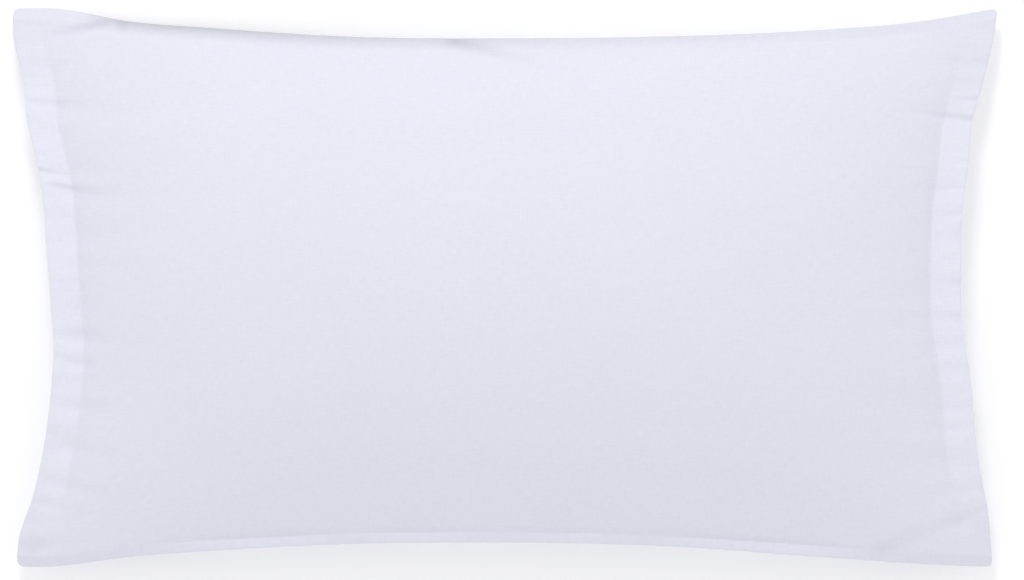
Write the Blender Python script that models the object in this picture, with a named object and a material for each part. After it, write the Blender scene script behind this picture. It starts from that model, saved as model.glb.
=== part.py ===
"""A white cotton pillowcase, filled by its pillow and lying on its back, as one closed solid.

Metres, +Z up. +X runs along the case from its left hem to its right one, and +Y runs across it.
The origin lies on the surface that the case rests on, under the middle of the case.

The case is a front and a back panel, sewn round their rim. Both panels share one net of columns
and rows: a few flat ones for the hems and seam allowances, then the body's, which swells with the
pillow. The front rises to the crown. The back draws in under the rim and is flat where it rests.
"""

from collections import namedtuple

import bmesh
import bpy
import numpy as np

MM = 0.001

# Driving sizes of the filled case.
LENGTH = 880 * MM  # between the corners, along the +Y side
WIDTH = 500 * MM  # between the corners, along either end
THICKNESS = 145 * MM  # from the resting surface to the top of the crown
HEM_DEPTH = 27 * MM  # flat hem at each end
SEAM_DEPTH = 10 * MM  # flat seam allowance along each long side
EDGE_THICKNESS = 3 * MM  # the plies at the rim, with the loose air between them
CORNER_HEIGHT = 26 * MM  # the rim's mid-plane above the surface at the corners
RIM_HEIGHT = 56 * MM  # the same at the middle of each side
UNDERCUT = 90 * MM  # how far in from the hems and seams the back comes down to the surface

# How full the crown is: a higher power keeps it level for longer.
CROWN_POWER_ALONG = 3.0
CROWN_POWER_ACROSS = 2.1

# The net of cells on each panel.
HEM_COLUMNS = 2
BODY_COLUMNS = 42
SEAM_ROWS = 1
BODY_ROWS = 34
CROWDING = 0.35  # share by which the body's cells are narrower near the rim than on average

# How far each side draws in from the straight line between its corners, in millimetres.
# share runs from 0 to 1 along the side: down the ends from +Y to -Y, and along the sides from -X to +X.
PullIn = namedtuple("PullIn", "share millimetres")

LEFT_END = (
    PullIn(0.00, 0.0),
    PullIn(0.06, 1.5),
    PullIn(0.10, 6.5),
    PullIn(0.15, 12.5),
    PullIn(0.20, 14.5),
    PullIn(0.26, 22.0),
    PullIn(0.32, 28.5),
    PullIn(0.42, 33.0),
    PullIn(0.54, 37.5),
    PullIn(0.62, 39.5),
    PullIn(0.68, 37.0),
    PullIn(0.77, 31.0),
    PullIn(0.87, 19.5),
    PullIn(0.95, 5.8),
    PullIn(1.00, 3.0),
)
RIGHT_END = (
    PullIn(0.00, 0.0),
    PullIn(0.06, 5.3),
    PullIn(0.15, 17.4),
    PullIn(0.21, 25.8),
    PullIn(0.26, 28.0),
    PullIn(0.36, 34.8),
    PullIn(0.48, 36.5),
    PullIn(0.56, 35.5),
    PullIn(0.66, 27.8),
    PullIn(0.80, 20.2),
    PullIn(0.90, 10.4),
    PullIn(1.00, 4.5),
)
UPPER_SIDE = (
    PullIn(0.00, 0.0),
    PullIn(0.04, 0.6),
    PullIn(0.12, 11.6),
    PullIn(0.20, 17.5),
    PullIn(0.34, 26.0),
    PullIn(0.50, 28.3),
    PullIn(0.66, 26.5),
    PullIn(0.80, 21.5),
    PullIn(0.92, 12.6),
    PullIn(1.00, 0.0),
)
LOWER_SIDE = (
    PullIn(0.00, 0.0),
    PullIn(0.03, 0.3),
    PullIn(0.12, 10.0),
    PullIn(0.22, 17.0),
    PullIn(0.36, 22.7),
    PullIn(0.50, 23.8),
    PullIn(0.68, 19.5),
    PullIn(0.82, 10.6),
    PullIn(0.93, 2.9),
    PullIn(1.00, 0.0),
)

# How far the rim of each long side drops where the swell rolls over its seam, over the last ROLL_REACH.
ROLL_REACH = 17 * MM
Roll = namedtuple("Roll", "share millimetres")

UPPER_ROLL = (
    Roll(0.00, 1.0),
    Roll(0.07, 2.0),
    Roll(0.11, 20.0),
    Roll(0.20, 24.0),
    Roll(0.30, 20.0),
    Roll(0.42, 13.0),
    Roll(0.52, 8.0),
    Roll(0.70, 6.0),
    Roll(0.85, 2.0),
    Roll(1.00, 1.0),
)
LOWER_ROLL = (
    Roll(0.00, 1.0),
    Roll(0.30, 2.0),
    Roll(0.60, 3.0),
    Roll(1.00, 1.0),
)

# The main folds, in millimetres: troughs that are deepest where they start and fade out where they end.
Fold = namedtuple("Fold", "start_x start_y end_x end_y depth spread")

FOLDS = (
    # Puckers that run in from the left hem.
    Fold(-405, 163, -300, 155, 4.0, 10),
    Fold(-395, 96, -310, 84, 5.0, 11),
    Fold(-392, 52, -330, 48, 3.0, 13),
    Fold(-390, -42, -325, -46, 4.0, 11),
    Fold(-392, -104, -320, -108, 3.5, 12),
    Fold(-400, -150, -330, -152, 4.0, 14),
    # Puckers that run in from the right hem.
    Fold(415, 148, 320, 163, 5.0, 11),
    Fold(402, 88, 335, 84, 3.0, 13),
    Fold(400, 2, 325, 8, 3.5, 14),
    Fold(402, -28, 340, -26, 3.0, 11),
    Fold(410, -104, 290, -98, 4.5, 13),
    Fold(418, -160, 345, -158, 3.5, 16),
    # The crease below the upper left corner, and the soft fold above the lower right one.
    Fold(-362, 234, -420, 218, 5.0, 9),
    Fold(345, -226, 412, -205, 5.0, 11),
)


def smooth_curve(rows, share):
    """The value in metres at each share, on a smooth curve through the rows of a table."""
    shares, values = np.array(rows, dtype=float).T
    slopes = np.gradient(values, shares)
    cell = np.clip(np.searchsorted(shares, share) - 1, 0, len(shares) - 2)
    span = shares[cell + 1] - shares[cell]
    t = (share - shares[cell]) / span
    start = (1 + 2 * t) * (1 - t) ** 2 * values[cell] + t * (1 - t) ** 2 * span * slopes[cell]
    end = t**2 * (3 - 2 * t) * values[cell + 1] - t**2 * (1 - t) * span * slopes[cell + 1]
    return (start + end) * MM


def net_lines(border, border_cells, body_cells, full):
    """For each line across a side of length full: its distance into the two borders, and its body share.

    Lines in a border have a body share of 0 or 1. The body's lines crowd towards its ends.
    """
    steps = np.arange(border_cells) / border_cells
    t = np.arange(body_cells + 1) / body_cells
    body = t - CROWDING * np.sin(2 * np.pi * t) / (2 * np.pi)
    near = np.concatenate([steps * border, np.full(body_cells + 1 + border_cells, border)])
    far = near[::-1]
    share = np.concatenate([np.zeros(border_cells), body, np.ones(border_cells)])
    flat = near + share * (full - 2 * border) + (border - far)
    return near, far, share, flat / full


def stretched(low, high, near, far, border, share):
    """Positions from low to high: the borders keep their depth, and the body takes what is left."""
    return low + near + share * (high - low - 2 * border) + (border - far)


def swell(share, power):
    """The crown's profile over the body: 0 at both hems or seams, 1 in the middle."""
    return 1 - np.abs(2 * share - 1) ** power


def rolled(table, along, from_side):
    """How far the rim has dropped at each point, from the distance to the long side that the table is for."""
    return smooth_curve(table, along) * (1 - np.clip(from_side / ROLL_REACH, 0, 1)) ** 2


def settled(share, body_length):
    """How far the back has come down to the surface: 0 at the hem or seam, 1 from UNDERCUT inwards."""
    inwards = np.minimum(share, 1 - share) * body_length
    return 1 - (1 - np.minimum(inwards / UNDERCUT, 1)) ** 2


def fold_depth(x, y):
    """How deep the folds press the front panel in at each point."""
    total = np.zeros_like(x)
    for fold in FOLDS:
        start = np.array([fold.start_x, fold.start_y]) * MM
        run = np.array([fold.end_x, fold.end_y]) * MM - start
        t = ((x - start[0]) * run[0] + (y - start[1]) * run[1]) / (run @ run)
        t = np.clip(t, 0, 1)
        aside = np.hypot(x - start[0] - t * run[0], y - start[1] - t * run[1])
        total += fold.depth * MM * (1 - t) * np.exp(-((aside / (fold.spread * MM)) ** 2))
    return total


def panel_points():
    """The points of the front and of the back panel, as arrays of rows by columns by 3."""
    near_x, far_x, body_x, flat_x = net_lines(HEM_DEPTH, HEM_COLUMNS, BODY_COLUMNS, LENGTH)
    near_y, far_y, body_y, flat_y = net_lines(SEAM_DEPTH, SEAM_ROWS, BODY_ROWS, WIDTH)

    down = (1 - flat_y)[:, None]
    along = flat_x[None, :]
    left = -LENGTH / 2 + smooth_curve(LEFT_END, down)
    right = LENGTH / 2 - smooth_curve(RIGHT_END, down)
    lower = -WIDTH / 2 + smooth_curve(LOWER_SIDE, along)
    upper = WIDTH / 2 - smooth_curve(UPPER_SIDE, along)
    x = stretched(left, right, near_x, far_x, HEM_DEPTH, body_x[None, :])
    y = stretched(lower, upper, near_y[:, None], far_y[:, None], SEAM_DEPTH, body_y[:, None])

    corner_share = (2 * along - 1) ** 2 * (2 * down - 1) ** 2
    rim = RIM_HEIGHT - (RIM_HEIGHT - CORNER_HEIGHT) * corner_share - fold_depth(x, y)
    rim -= rolled(UPPER_ROLL, along, upper - y) + rolled(LOWER_ROLL, along, y - lower)
    crown = THICKNESS - RIM_HEIGHT - EDGE_THICKNESS / 2
    full = swell(body_x, CROWN_POWER_ALONG)[None, :] * swell(body_y, CROWN_POWER_ACROSS)[:, None]
    down_along = settled(body_x, LENGTH - 2 * HEM_DEPTH)[None, :]
    down_across = settled(body_y, WIDTH - 2 * SEAM_DEPTH)[:, None]

    front = np.stack([x, y, rim + EDGE_THICKNESS / 2 + crown * full], axis=-1)
    back_height = (rim - EDGE_THICKNESS / 2) * (1 - down_along * down_across)
    back = np.stack([x, y, back_height], axis=-1)
    return front, back


def add_panel(cloth, points):
    """Adds a grid of cells to the cloth, moves its vertices to the panel's points and returns them."""
    rows, columns = points.shape[:2]
    grid = bmesh.ops.create_grid(cloth, x_segments=columns - 1, y_segments=rows - 1, size=0.5)
    for vertex in grid["verts"]:
        column = round((vertex.co.x + 0.5) * (columns - 1))
        row = round((vertex.co.y + 0.5) * (rows - 1))
        vertex.co = points[row, column]
    return grid["verts"]


def filled_case():
    """The two panels joined round their rim, as one closed mesh."""
    front, back = panel_points()
    cloth = bmesh.new()
    add_panel(cloth, front)
    add_panel(cloth, back)
    rims = [edge for edge in cloth.edges if edge.is_boundary]
    bmesh.ops.bridge_loops(cloth, edges=rims)
    bmesh.ops.recalc_face_normals(cloth, faces=cloth.faces)
    mesh = bpy.data.meshes.new("filled_case")
    cloth.to_mesh(mesh)
    cloth.free()
    mesh.shade_smooth()
    mesh.set_sharp_from_angle(angle=np.radians(60))
    return mesh


def white_cotton():
    """Thin, slightly bluish white cotton with no shine."""
    material = bpy.data.materials.new("white_cotton")
    material.use_nodes = True
    shader = material.node_tree.nodes["Principled BSDF"]
    shader.inputs["Base Color"].default_value = (0.80, 0.80, 0.88, 1)
    shader.inputs["Roughness"].default_value = 0.9
    shader.inputs["Metallic"].default_value = 0
    return material


def clear_scene():
    for thing in list(bpy.data.objects):
        bpy.data.objects.remove(thing)


def build():
    clear_scene()
    parts = bpy.data.collections.new("pillowcase")
    bpy.context.scene.collection.children.link(parts)
    mesh = filled_case()
    mesh.materials.append(white_cotton())
    parts.objects.link(bpy.data.objects.new("filled_case", mesh))


build()
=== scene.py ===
"""Looks of the filled pillowcase: its cloth with hems, seams and folds, the cotton, and a plain stage.

Metres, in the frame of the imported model. +X runs along the case, +Y across it and +Z up out of its front.

The case is a front and a back panel, sewn round their rim. Both lie on one net of lines: fine ones over the
hems and the seam allowances, then the body's. The front swells with the pillow, and the back is flat where
it rests.
"""

from collections import namedtuple

import bpy
import numpy as np
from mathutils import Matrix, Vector, noise


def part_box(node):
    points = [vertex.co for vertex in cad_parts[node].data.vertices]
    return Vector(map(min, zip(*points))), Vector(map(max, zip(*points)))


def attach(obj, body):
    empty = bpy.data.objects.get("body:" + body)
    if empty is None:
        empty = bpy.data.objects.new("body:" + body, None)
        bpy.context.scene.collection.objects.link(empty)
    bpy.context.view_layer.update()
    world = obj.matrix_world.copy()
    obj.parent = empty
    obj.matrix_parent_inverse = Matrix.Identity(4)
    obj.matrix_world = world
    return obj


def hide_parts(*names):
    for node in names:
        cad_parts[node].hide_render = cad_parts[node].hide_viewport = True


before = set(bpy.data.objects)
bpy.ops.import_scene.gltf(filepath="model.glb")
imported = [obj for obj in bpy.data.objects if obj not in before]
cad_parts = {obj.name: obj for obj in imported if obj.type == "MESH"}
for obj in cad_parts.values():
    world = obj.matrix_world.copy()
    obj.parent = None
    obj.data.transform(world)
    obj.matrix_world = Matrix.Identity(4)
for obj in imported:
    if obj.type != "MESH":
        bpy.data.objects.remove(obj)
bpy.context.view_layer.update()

MM = 0.001
CASE_NODE = "filled_case"
LOW, HIGH = (Vector(corner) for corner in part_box(CASE_NODE))
LENGTH = HIGH.x - LOW.x
WIDTH = HIGH.y - LOW.y
THICKNESS = HIGH.z - LOW.z

# Heights of the rim's mid-plane above the surface, and how far in the back comes down to it.
CORNER_HEIGHT = 26 * MM
RIM_HEIGHT = 56 * MM
UNDERCUT = 90 * MM

# How full the crown is: a higher power keeps it level for longer. Just inside the hems and seams it
# also rises by a shoulder, which is reached within about SHOULDER_REACH. Beside a seam with no lip the reach
# is longer by up to SLOWEST_SHOULDER times itself.
CROWN_POWER_ALONG = 3.0
CROWN_POWER_ACROSS = 2.1
SHOULDER = 2.0 * MM
SHOULDER_REACH = 7 * MM
SLOWEST_SHOULDER = 6

# The net: lines at set distances in from the outline over the hems and seam allowances, then body lines,
# which crowd towards the rim.
HEM_DEPTH = 27 * MM
SEAM_DEPTH = 10 * MM
HEM_LINES = np.array([0, 0.35, 1, 4, 8, 12, 16, 20, 23.5, 25.6, 26.4, 27]) * MM
SEAM_LINES = np.array([0, 0.35, 1, 2.6, 4.4, 6.2, 7.8, 8.9, 9.5, 10]) * MM
BODY_COLUMNS = 116
BODY_ROWS = 326
CROWDING_ALONG = 0.6
CROWDING_ACROSS = 0.15

# The plies at the rim, and how far in from it their edge and the four corners are rounded.
HEM_THICKNESS = 2.4 * MM
HEM_ROUNDING = 1.0 * MM
CORNER_ROUNDING = 6 * MM

# Each hem shows as a paler strip. It starts to show this far from the long sides, and shows in full
# STRIP_FADE further in. STRIP_EDGE is how wide its soft edge towards the body is.
LEFT_STRIP_START = 25 * MM
RIGHT_STRIP_START = 60 * MM
STRIP_FADE = 50 * MM
STRIP_EDGE = 1.6 * MM

# How far each side draws in from the straight line between its corners, in millimetres.
# share runs down the ends from +Y to -Y, and along the sides from -X to +X.
PullIn = namedtuple("PullIn", "share millimetres")

LEFT_END = (
    PullIn(0.00, 0.0),
    PullIn(0.06, 1.5),
    PullIn(0.10, 6.5),
    PullIn(0.15, 12.5),
    PullIn(0.20, 14.5),
    PullIn(0.26, 22.0),
    PullIn(0.32, 28.5),
    PullIn(0.42, 33.0),
    PullIn(0.54, 37.5),
    PullIn(0.62, 39.5),
    PullIn(0.68, 37.0),
    PullIn(0.77, 31.0),
    PullIn(0.87, 19.5),
    PullIn(0.95, 5.8),
    PullIn(1.00, 3.0),
)
RIGHT_END = (
    PullIn(0.00, 0.0),
    PullIn(0.06, 5.3),
    PullIn(0.15, 17.4),
    PullIn(0.21, 25.8),
    PullIn(0.26, 28.0),
    PullIn(0.36, 34.8),
    PullIn(0.48, 36.5),
    PullIn(0.56, 35.5),
    PullIn(0.66, 27.8),
    PullIn(0.80, 20.2),
    PullIn(0.90, 10.4),
    PullIn(1.00, 4.5),
)
UPPER_SIDE = (
    PullIn(0.00, 0.0),
    PullIn(0.04, 0.6),
    PullIn(0.12, 11.6),
    PullIn(0.20, 17.5),
    PullIn(0.34, 26.0),
    PullIn(0.50, 28.3),
    PullIn(0.66, 26.5),
    PullIn(0.80, 21.5),
    PullIn(0.92, 12.6),
    PullIn(1.00, 0.0),
)
LOWER_SIDE = (
    PullIn(0.00, 0.0),
    PullIn(0.03, 0.3),
    PullIn(0.12, 10.0),
    PullIn(0.22, 17.0),
    PullIn(0.36, 22.7),
    PullIn(0.50, 23.8),
    PullIn(0.68, 19.5),
    PullIn(0.82, 10.6),
    PullIn(0.93, 2.9),
    PullIn(1.00, 0.0),
)

# How far the rim of each long side drops as the swell rolls over its seam, over the last ROLL_REACH.
# At the upper seam the cloth's colour is darkened by painted shade where it has rolled over, darkest where it
# has dropped by DARKEST_ROLL. A DARKENING_POWER below 1 makes the painted shade deepen sooner.
ROLL_REACH = 17 * MM
DARKEST_ROLL = 24 * MM
DARKENING_POWER = 0.75
Roll = namedtuple("Roll", "share millimetres")

UPPER_ROLL = (
    Roll(0.00, 1.0),
    Roll(0.07, 2.0),
    Roll(0.11, 20.0),
    Roll(0.20, 24.0),
    Roll(0.30, 20.0),
    Roll(0.42, 13.0),
    Roll(0.52, 8.0),
    Roll(0.70, 6.0),
    Roll(0.85, 2.0),
    Roll(1.00, 1.0),
)
LOWER_ROLL = (
    Roll(0.00, 1.0),
    Roll(0.30, 2.0),
    Roll(0.60, 3.0),
    Roll(1.00, 1.0),
)

# How far the outline of each long side droops below its seam line. Where it droops by FULL_DROOP the seam
# allowance rolls on with the swell, and where it doesn't droop the allowance stands out as a flat lip.
FULL_DROOP = 7 * MM
Droop = namedtuple("Droop", "share millimetres")

UPPER_DROOP = (
    Droop(0.00, 4.0),
    Droop(0.10, 4.5),
    Droop(0.45, 5.5),
    Droop(0.78, 5.5),
    Droop(0.87, 1.5),
    Droop(0.95, 1.5),
    Droop(1.00, 3.5),
)
LOWER_DROOP = (
    Droop(0.00, 5.0),
    Droop(0.13, 5.0),
    Droop(0.19, 1.0),
    Droop(0.30, 1.0),
    Droop(0.345, 4.0),
    Droop(0.39, 1.5),
    Droop(0.43, 1.5),
    Droop(0.48, 4.0),
    Droop(0.56, 1.5),
    Droop(0.62, 3.5),
    Droop(0.70, 0.8),
    Droop(0.83, 0.0),
    Droop(0.87, 4.0),
    Droop(1.00, 5.0),
)

# Folds, in millimetres. Each is a trough that is deepest at its start and fades to nothing at its end, faster
# at first for a higher FADING_POWER. Before its start it dies out over STARTING_SPREADS times its spread.
# lean, times LEAN_GAIN, raises the cloth on its +Y side into a ridge beside the trough. Within TROUGH_REACH of
# the long sides the troughs also get painted shade in their colour, darkest where they are DARKEST_TROUGH
# deep.
FADING_POWER = 1.3
STARTING_SPREADS = 1.5
LEAN_GAIN = 1.6
DARKEST_TROUGH = 16 * MM
TROUGH_REACH = 30 * MM
Fold = namedtuple("Fold", "start_x start_y end_x end_y depth spread lean")

FOLDS = (
    # Puckers that run in from the left hem.
    Fold(-427, 188, -398, 186, 0.8, 3.5, 0.6),
    Fold(-420, 166, -375, 161, 1.6, 5, 0.8),
    Fold(-395, 161, -290, 155, 2.6, 9, 0.4),
    Fold(-412, 118, -388, 115, 0.8, 3.5, 0.6),
    Fold(-415, 105, -376, 98, 2.0, 2.6, 1.1),
    Fold(-400, 91, -352, 82, 1.3, 3, 0.9),
    Fold(-384, 86, -305, 79, 2.2, 7, 0.5),
    Fold(-384, 51, -330, 49, 1.8, 11, 0.3),
    Fold(-380, -43, -335, -46, 2.2, 8, 0.6),
    Fold(-382, -66, -350, -69, 1.4, 6, 0.6),
    Fold(-384, -104, -325, -108, 2.0, 10, 0.5),
    Fold(-388, -138, -330, -146, 2.6, 10, 0.9),
    Fold(-400, -172, -340, -182, 2.0, 9, 0.9),
    Fold(-408, -192, -350, -200, 1.4, 7, 0.9),
    # Puckers that run in from the right hem.
    Fold(422, 168, 390, 169, 1.5, 2.6, 1.2),
    Fold(418, 150, 345, 158, 2.0, 3.2, 1.1),
    Fold(396, 153, 325, 161, 1.4, 8, 0.4),
    Fold(408, 112, 380, 111, 1.0, 4, 0.8),
    Fold(392, 90, 345, 86, 1.8, 11, 0.4),
    Fold(406, 66, 384, 66, 1.2, 4, 1.0),
    Fold(388, 64, 350, 60, 1.4, 8, 0.5),
    Fold(406, 5, 384, 4, 1.2, 4, 1.0),
    Fold(390, 6, 330, 10, 2.0, 14, 0.4),
    Fold(396, -26, 335, -24, 2.0, 8, 0.6),
    Fold(398, -49, 350, -50, 1.2, 8, 0.5),
    Fold(412, -104, 290, -98, 3.0, 13, 0.5),
    Fold(402, -123, 350, -123, 1.0, 6, 0.5),
    Fold(406, -148, 345, -150, 2.2, 14, 0.6),
    # Creases at the corners and at the upper side.
    Fold(-362, 236, -420, 221, 4.5, 5, 0.7),
    Fold(-343, 234, -338, 222, 5.0, 5, 0.0),
    Fold(-44, 220, 46, 191, 5.5, 6.5, 0.5),
    Fold(405, -206, 345, -225, 2.2, 8, 0.7),
    Fold(336, -231, 398, -211, 2.6, 8, 0.4),
    Fold(-420, -232, -380, -222, 1.8, 7, 0.3),
    Fold(428, 200, 380, 205, 1.0, 6, 0.6),
)

# Fine unevenness, in millimetres: waves of smooth noise of this height. reach is how far in from the ends or
# the long sides they fade out or, for the sway of the body, how far in they come to their full height.
Grains = namedtuple("Grains", "size_x size_y seed")
Waves = namedtuple("Waves", "height reach grains")

GATHERS = Waves(1.1, 40, Grains(90, 15, 1.5))
EDGE_WAVES = Waves(0.9, 14, Grains(45, 45, 12.5))
SWAY = Waves(0.8, 60, Grains(130, 80, 7.5))

# The shoulder inside the hems is uneven too. This height is a share of the shoulder.
UNEVEN_SHOULDER = Waves(0.7, 60, Grains(90, 18, 2.5))

# Hairline creases at the ends run where their noise is within CREASE_FINENESS of nothing, and stop where a
# second noise is below CREASE_STOP.
CREASES = Waves(-0.7, 42, Grains(110, 11, 21.5))
CREASE_STOPS = Grains(60, 24, 24.5)
CREASE_STOP = -0.15
CREASE_FINENESS = 0.13

# The groove inside the lip of a long side, and the low ridge inside the upper seam where it has no lip.
Band = namedtuple("Band", "height from_side spread")

GROOVE = Band(-1.2, 10, 3.5)
RIDGE = Band(0.7, 13, 3.5)

# The cotton: its colour, the fine threads of its weave, how much paler it gets on the hems, and how much
# painted shade darkens it in places.
COTTON = (0.782, 0.790, 0.890)
THREAD_PITCH = 0.45 * MM
THREAD_RELIEF = 0.08 * MM
HEM_PALENESS = 0.041
# How much the painted shade darkens the cotton at its darkest.
PAINTED_SHADE_DARKNESS = 0.34

# Thicker threads in the weave, and its faint tones: smooth noise with this many grains a metre each way.
Tone = namedtuple("Tone", "per_metre_x per_metre_y weight")

THICK_THREADS = (
    Tone(40, 1400, 1.2),
    Tone(1400, 40, 1.2),
)
TONES = (
    Tone(9, 9, 0.018),
    Tone(110, 520, 0.075),
    Tone(520, 110, 0.075),
)

# The stage, the lights and the camera.
FLOOR_SIZE = 12
FLOOR_GLOW = 0.1
DOME_STRENGTH = 0.84
KEY_PLACE = (-0.25, 1.8, 2.3)
KEY_SIZE = 0.6
KEY_WATTS = 15.5
VIEW_WIDTH = 914.8 * MM  # at the height of the corners
EYE_X = 5.8 * MM
EYE_Y = -2.2 * MM
LENS = 135
SENSOR = 36


def smooth_curve(rows, share):
    """The value in metres at each share, on a smooth curve through the rows of a table."""
    shares, values = np.array(rows, dtype=float).T
    slopes = np.gradient(values, shares)
    cell = np.clip(np.searchsorted(shares, share) - 1, 0, len(shares) - 2)
    span = shares[cell + 1] - shares[cell]
    t = (share - shares[cell]) / span
    start = (1 + 2 * t) * (1 - t) ** 2 * values[cell] + t * (1 - t) ** 2 * span * slopes[cell]
    end = t**2 * (3 - 2 * t) * values[cell + 1] - t**2 * (1 - t) * span * slopes[cell + 1]
    return (start + end) * MM


def noise_field(net, grains):
    """Smooth noise between about -1 and 1."""
    size_x = grains.size_x * MM
    size_y = grains.size_y * MM
    flat = [
        noise.noise(Vector((x / size_x, y / size_y, grains.seed)))
        for x, y in zip(net.x.ravel(), net.y.ravel())
    ]
    return np.array(flat).reshape(net.x.shape) * 2


def bell(distance, reach):
    """1 at no distance, fading to nothing by about twice the reach."""
    return np.exp(-((distance / reach) ** 2))


def net_lines(border_lines, body_cells, crowding, full):
    """For each line across a side: its depth in the two borders, its body share and its share of full."""
    border = border_lines[-1]
    steps = border_lines[:-1]
    t = np.arange(body_cells + 1) / body_cells
    body = t - crowding * np.sin(2 * np.pi * t) / (2 * np.pi)
    near = np.concatenate([steps, np.full(body_cells + 1 + len(steps), border)])
    far = near[::-1]
    share = np.concatenate([np.zeros(len(steps)), body, np.ones(len(steps))])
    flat = near + share * (full - 2 * border) + (border - far)
    return near, far, share, flat / full


def stretched(low, high, near, far, border, share):
    """Positions from low to high: the borders keep their depth, and the body takes what is left."""
    return low + near + share * (high - low - 2 * border) + (border - far)


# The net seen from above. along and down are a point's shares of the flat case, from -X and from +Y, and
# body_x and body_y its shares of the body, from -X and from -Y. The rest are distances in from the outline.
Net = namedtuple("Net", "x y along down body_x body_y from_end from_upper from_lower from_side from_rim")


def lay_net():
    """The net's points, with the outline drawn in and the hems and seam allowances at their full depth."""
    near_x, far_x, body_x, flat_x = net_lines(HEM_LINES, BODY_COLUMNS, CROWDING_ALONG, LENGTH)
    near_y, far_y, body_y, flat_y = net_lines(SEAM_LINES, BODY_ROWS, CROWDING_ACROSS, WIDTH)
    body_x = body_x[None, :]
    body_y = body_y[:, None]
    along = flat_x[None, :]
    down = (1 - flat_y)[:, None]
    left = LOW.x + smooth_curve(LEFT_END, down)
    right = HIGH.x - smooth_curve(RIGHT_END, down)
    lower = LOW.y + smooth_curve(LOWER_SIDE, along)
    upper = HIGH.y - smooth_curve(UPPER_SIDE, along)
    x = stretched(left, right, near_x, far_x, HEM_DEPTH, body_x)
    y = stretched(lower, upper, near_y[:, None], far_y[:, None], SEAM_DEPTH, body_y)
    from_end = np.minimum(x - left, right - x)
    from_side = np.minimum(y - lower, upper - y)
    from_rim = np.minimum(from_end, from_side)
    return Net(x, y, along, down, body_x, body_y, from_end, upper - y, y - lower, from_side, from_rim)


def rolled(table, along, from_side):
    """How far the rim has dropped at each point. The table and the distance are for the same long side."""
    return smooth_curve(table, along) * (1 - np.clip(from_side / ROLL_REACH, 0, 1)) ** 2


def seam_droop(net):
    """How far the outline of the nearer long side droops below its seam line."""
    upper = smooth_curve(UPPER_DROOP, net.along)
    lower = smooth_curve(LOWER_DROOP, net.along)
    return np.where(net.down < 0.5, upper, lower)


def rim_height(net):
    """The height of the rim's mid-plane, which carries on under the swell and is lowest at the corners."""
    corner_share = (2 * net.along - 1) ** 2 * (2 * net.down - 1) ** 2
    flat_rim = RIM_HEIGHT - (RIM_HEIGHT - CORNER_HEIGHT) * corner_share
    roll = rolled(UPPER_ROLL, net.along, net.from_upper) + rolled(LOWER_ROLL, net.along, net.from_lower)
    return flat_rim - roll - seam_droop(net) * np.clip(1 - net.from_side / SEAM_DEPTH, 0, 1)


def crown_profile(share, power):
    """0 at both hems or seams, 1 in the middle."""
    return 1 - np.abs(2 * share - 1) ** power


def risen(inwards, reach):
    """0 up to a hem or seam line, then towards 1 within a few times the reach."""
    return 1 - np.exp(-np.maximum(inwards, 0) / reach)


def swelling(net, lip):
    """How far the front swells above the rim. Beside a seam with no lip its shoulder rises more slowly."""
    full_x = crown_profile(net.body_x, CROWN_POWER_ALONG)
    full_y = crown_profile(net.body_y, CROWN_POWER_ACROSS)
    uneven = UNEVEN_SHOULDER.height * noise_field(net, UNEVEN_SHOULDER.grains)
    uneven *= np.exp(-net.from_end / (UNEVEN_SHOULDER.reach * MM))
    end_shoulder = risen(net.from_end - HEM_DEPTH, SHOULDER_REACH) * full_y * (1 + uneven)
    side_reach = SHOULDER_REACH * (1 + SLOWEST_SHOULDER * (1 - lip))
    side_shoulder = risen(net.from_side - SEAM_DEPTH, side_reach) * full_x
    crown = THICKNESS - RIM_HEIGHT - HEM_THICKNESS / 2 - 2 * SHOULDER
    return crown * full_x * full_y + SHOULDER * (end_shoulder + side_shoulder)


def fold_heights(x, y):
    """How far the folds move the front at each point: down in a trough, up on the ridge beside it."""
    total = np.zeros_like(x)
    for fold in FOLDS:
        start = np.array([fold.start_x, fold.start_y]) * MM
        run = np.array([fold.end_x, fold.end_y]) * MM - start
        length = np.hypot(*run)
        ahead = ((x - start[0]) * run[0] + (y - start[1]) * run[1]) / length
        side = np.array([-run[1], run[0]]) / length
        side *= np.sign(side[1])
        aside = (x - start[0]) * side[0] + (y - start[1]) * side[1]
        spread = fold.spread * MM
        fading = (1 - np.clip(ahead / length, 0, 1)) ** FADING_POWER
        past_end = 1 - np.clip((ahead - length) / spread, 0, 1)
        before_start = bell(np.clip(-ahead, 0, None), STARTING_SPREADS * spread)
        ridge = fold.lean * LEAN_GAIN * aside / spread
        total += fold.depth * MM * fading * past_end * before_start * (ridge - 1) * bell(aside, spread)
    return total


def band_height(net, band):
    """The height of a low band that runs along both seams."""
    full_x = crown_profile(net.body_x, CROWN_POWER_ALONG)
    return band.height * MM * full_x * bell(net.from_side - band.from_side * MM, band.spread * MM)


def waving(net, waves):
    """The height of the waves before they fade out."""
    return waves.height * MM * noise_field(net, waves.grains)


def hairlines(net):
    """Fine creases that wander along X, with stretches where they stop."""
    on_line = bell(noise_field(net, CREASES.grains), CREASE_FINENESS)
    on_line *= np.clip(noise_field(net, CREASE_STOPS) - CREASE_STOP, 0, 1)
    return CREASES.height * MM * on_line * bell(net.from_end, CREASES.reach * MM)


def unevenness(net, lip):
    """All that is finer than the folds: gathers, hairlines, waves along the seams, groove and ridge."""
    gathers = waving(net, GATHERS) * bell(net.from_end, GATHERS.reach * MM)
    edge_waves = waving(net, EDGE_WAVES) * bell(net.from_side, EDGE_WAVES.reach * MM)
    sway = waving(net, SWAY) * np.minimum(net.from_rim / (SWAY.reach * MM), 1)
    groove = band_height(net, GROOVE) * lip
    ridge = band_height(net, RIDGE) * (1 - lip) * (net.down < 0.5)
    return gathers + hairlines(net) + edge_waves + sway + groove + ridge


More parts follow.
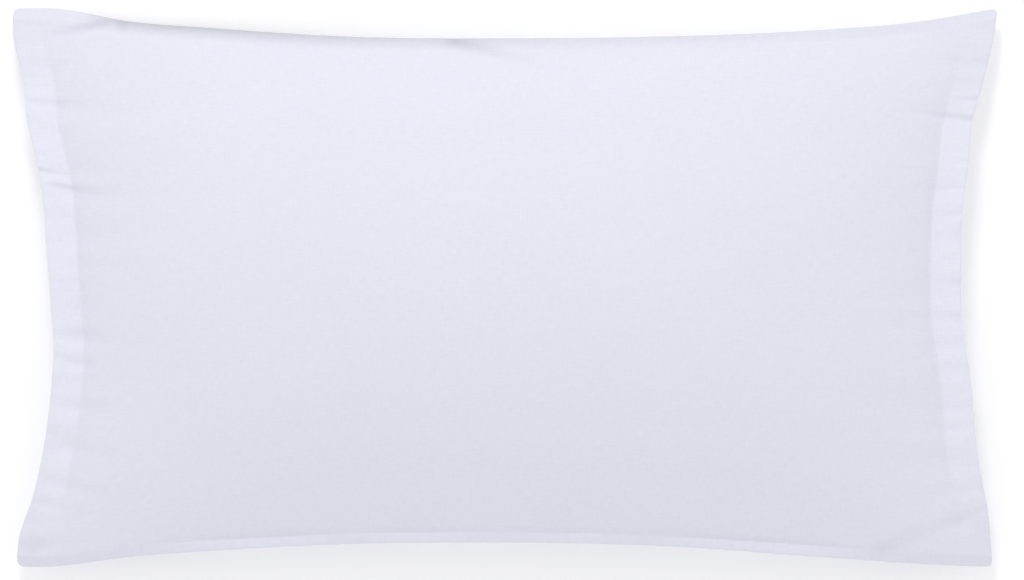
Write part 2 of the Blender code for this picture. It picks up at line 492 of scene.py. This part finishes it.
def settled(share, body_length):
    """How far the back has come down to the surface: 0 at the hem or seam, 1 from UNDERCUT inwards."""
    inwards = np.minimum(share, 1 - share) * body_length
    return 1 - (1 - np.minimum(inwards / UNDERCUT, 1)) ** 2


def rounded_corners(net):
    """The places of the net with each corner of the outline turned in an arc."""
    across = np.clip(1 - net.from_end / CORNER_ROUNDING, 0, 1)
    up = np.clip(1 - net.from_side / CORNER_ROUNDING, 0, 1)
    in_x = CORNER_ROUNDING * across * (1 - np.sqrt(1 - up**2 / 2))
    in_y = CORNER_ROUNDING * up * (1 - np.sqrt(1 - across**2 / 2))
    return net.x - np.sign(net.x) * in_x, net.y - np.sign(net.y) * in_y


def panels(net):
    """The points of the front and of the back panel, which meet at the outline."""
    lip = np.clip(1 - seam_droop(net) / FULL_DROOP, 0, 1)
    middle = rim_height(net) + fold_heights(net.x, net.y) + unevenness(net, lip)
    half = HEM_THICKNESS / 2 * np.sqrt(1 - (1 - np.clip(net.from_rim / HEM_ROUNDING, 0, 1)) ** 2)
    down_along = settled(net.body_x, LENGTH - 2 * HEM_DEPTH)
    down_across = settled(net.body_y, WIDTH - 2 * SEAM_DEPTH)
    x, y = rounded_corners(net)
    front = np.stack([x, y, middle + half + swelling(net, lip)], axis=-1)
    back = np.stack([x, y, (middle - half) * (1 - down_along * down_across)], axis=-1)
    return front, back


def flat_cloth(net):
    """Where each point lies on the flat cloth, so that the weave follows it."""
    flat_x = net.along * LENGTH + 0 * net.y
    flat_y = (1 - net.down) * WIDTH + 0 * net.x
    return np.stack([flat_x, flat_y, 0 * net.x], axis=-1)


def hem_strip(net):
    """1 on the hems, whose edge is a soft line that fades towards the corners, sooner at the right end."""
    start = np.where(net.x < 0, LEFT_STRIP_START, RIGHT_STRIP_START)
    on_hem = np.clip((HEM_DEPTH + STRIP_EDGE / 2 - net.from_end) / STRIP_EDGE, 0, 1)
    return on_hem * np.clip((net.from_side - start) / STRIP_FADE, 0, 1)


def painted_roll_and_trough_shade(net):
    """Painted shade: how far the cloth's colour is darkened where it rolls over the upper seam, and in the
    troughs beside the long sides.
    """
    dropped = rolled(UPPER_ROLL, net.along, net.from_upper)
    roll = np.clip(dropped / DARKEST_ROLL, 0, 1) ** DARKENING_POWER
    troughs = np.clip(-fold_heights(net.x, net.y) / DARKEST_TROUGH, 0, 1)
    return roll + troughs * bell(net.from_side, TROUGH_REACH)


def quads(index):
    """The cells of an index array, counter-clockwise."""
    return np.stack([index[:-1, :-1], index[:-1, 1:], index[1:, 1:], index[1:, :-1]], axis=-1).reshape(-1, 4)


def on_both(values):
    """The values for the front panel's points, then for the back panel's own points, which lack the rim."""
    return np.concatenate([values.ravel(), values[1:-1, 1:-1].ravel()])


def closed_cloth(name):
    """Front and back panel as one closed mesh: they share the vertices of the rim."""
    net = lay_net()
    front, back = panels(net)
    rows, columns = net.x.shape
    front_index = np.arange(rows * columns).reshape(rows, columns)
    inner = np.arange((rows - 2) * (columns - 2)).reshape(rows - 2, columns - 2)
    back_index = front_index.copy()
    back_index[1:-1, 1:-1] = rows * columns + inner
    points = np.concatenate([front.reshape(-1, 3), back[1:-1, 1:-1].reshape(-1, 3)])
    faces = np.concatenate([quads(front_index), quads(back_index)[:, ::-1]])

    mesh = bpy.data.meshes.new(name)
    mesh.from_pydata(points.tolist(), [], faces.tolist())
    cloth = mesh.attributes.new("cloth", "FLOAT_VECTOR", "POINT")
    cloth.data.foreach_set("vector", on_both(flat_cloth(net)))
    hem = mesh.attributes.new("hem", "FLOAT", "POINT")
    hem.data.foreach_set("value", on_both(hem_strip(net)))
    # Painted shade, carried into the cloth's colour: darker where it rolls over the upper seam and in troughs
    # by the long sides.
    painted_shade = mesh.attributes.new("painted_shade", "FLOAT", "POINT")
    painted_shade.data.foreach_set("value", on_both(painted_roll_and_trough_shade(net)))
    mesh.update()
    mesh.shade_smooth()
    piece = bpy.data.objects.new(name, mesh)
    bpy.context.scene.collection.objects.link(piece)
    return piece


def cotton():
    """White plain-woven cotton with fine and thicker threads, paler where the hems are double, and darkened by
    painted shade at the rolled upper seam and in the troughs by the long sides.
    """
    material = bpy.data.materials.new("cotton")
    material.use_nodes = True
    nodes = material.node_tree.nodes
    link = material.node_tree.links.new
    shader = nodes["Principled BSDF"]
    shader.inputs["Roughness"].default_value = 0.9
    shader.inputs["Sheen Weight"].default_value = 0.15
    shader.inputs["Sheen Roughness"].default_value = 0.5
    shader.inputs["Specular IOR Level"].default_value = 0.25

    def attribute(name):
        node = nodes.new("ShaderNodeAttribute")
        node.attribute_name = name
        return node

    cloth = attribute("cloth").outputs["Vector"]

    def threads(direction):
        wave = nodes.new("ShaderNodeTexWave")
        wave.bands_direction = direction
        wave.inputs["Scale"].default_value = 0.314 / THREAD_PITCH  # bands are 0.314 apart at a scale of 1
        wave.inputs["Distortion"].default_value = 0.6
        wave.inputs["Detail"].default_value = 1.0
        link(cloth, wave.inputs["Vector"])
        return wave.outputs["Fac"]

    def tone_noise(tone):
        mapping = nodes.new("ShaderNodeMapping")
        mapping.inputs["Scale"].default_value = (tone.per_metre_x, tone.per_metre_y, 1)
        link(cloth, mapping.inputs["Vector"])
        texture = nodes.new("ShaderNodeTexNoise")
        texture.inputs["Scale"].default_value = 1
        texture.inputs["Detail"].default_value = 2
        link(mapping.outputs["Vector"], texture.inputs["Vector"])
        return texture.outputs["Fac"]

    def joined(operation, first, second):
        maths = nodes.new("ShaderNodeMath")
        maths.operation = operation
        for socket, value in zip(maths.inputs, (first, second)):
            if isinstance(value, (int, float)):
                socket.default_value = value
            else:
                link(value, socket)
        return maths.outputs["Value"]

    def weighted(start, rows):
        total = start
        for values, weight in rows:
            total = joined("ADD", joined("MULTIPLY", values, weight), total)
        return total

    weave = joined("MULTIPLY", threads("X"), threads("Y"))
    bump = nodes.new("ShaderNodeBump")
    bump.inputs["Strength"].default_value = 0.35
    bump.inputs["Distance"].default_value = THREAD_RELIEF
    link(weighted(weave, [(tone_noise(tone), tone.weight) for tone in THICK_THREADS]), bump.inputs["Height"])
    link(bump.outputs["Normal"], shader.inputs["Normal"])

    # A tone's noise is 0.5 on average, so half their weights are taken off for a brightness of about 1.
    plain = 1 - sum(tone.weight for tone in TONES) / 2
    rows = [
        (attribute("hem").outputs["Fac"], HEM_PALENESS),
        # Painted shade: darkens the colour at the rolled upper seam and in troughs by the long sides.
        (attribute("painted_shade").outputs["Fac"], -PAINTED_SHADE_DARKNESS),
    ]
    rows += [(tone_noise(tone), tone.weight) for tone in TONES]
    colour = nodes.new("ShaderNodeVectorMath")
    colour.operation = "SCALE"
    colour.inputs[0].default_value = COTTON
    link(weighted(plain, rows), colour.inputs["Scale"])
    link(colour.outputs["Vector"], shader.inputs["Base Color"])
    return material


def stage():
    """A plain pale floor that reaches far past the case."""
    bpy.ops.mesh.primitive_plane_add(size=FLOOR_SIZE, location=(0, 0, LOW.z))
    floor = bpy.context.object
    floor.name = "floor"
    material = bpy.data.materials.new("pale_floor")
    material.use_nodes = True
    shader = material.node_tree.nodes["Principled BSDF"]
    shader.inputs["Base Color"].default_value = (1, 1, 1, 1)
    shader.inputs["Emission Color"].default_value = (1, 1, 1, 1)
    shader.inputs["Emission Strength"].default_value = FLOOR_GLOW
    shader.inputs["Roughness"].default_value = 0.9
    shader.inputs["Specular IOR Level"].default_value = 0
    floor.data.materials.append(material)


def studio():
    """A soft dome of light, and one soft key light above and beyond the +Y side of the case."""
    world = bpy.data.worlds.new("dome")
    world.use_nodes = True
    background = world.node_tree.nodes["Background"]
    background.inputs["Color"].default_value = (1, 1, 1, 1)
    background.inputs["Strength"].default_value = DOME_STRENGTH
    bpy.context.scene.world = world

    light = bpy.data.lights.new("key", "AREA")
    light.shape = "DISK"
    light.size = KEY_SIZE
    light.energy = KEY_WATTS
    lamp = bpy.data.objects.new("key", light)
    lamp.location = KEY_PLACE
    lamp.rotation_euler = (-Vector(KEY_PLACE)).to_track_quat("-Z", "Y").to_euler()
    bpy.context.scene.collection.objects.link(lamp)
    bpy.context.scene.view_settings.view_transform = "Standard"


def camera():
    """Straight above the case, with its length across the picture."""
    lens_data = bpy.data.cameras.new("camera")
    lens_data.lens = LENS
    lens_data.sensor_width = SENSOR
    eye = bpy.data.objects.new("camera", lens_data)
    eye.location = (EYE_X, EYE_Y, CORNER_HEIGHT + VIEW_WIDTH * LENS / SENSOR)
    bpy.context.scene.collection.objects.link(eye)
    bpy.context.scene.camera = eye


case = closed_cloth("pillowcase_cloth")
case.data.materials.append(cotton())
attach(case, "root")
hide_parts(CASE_NODE)

stage()
studio()
camera()
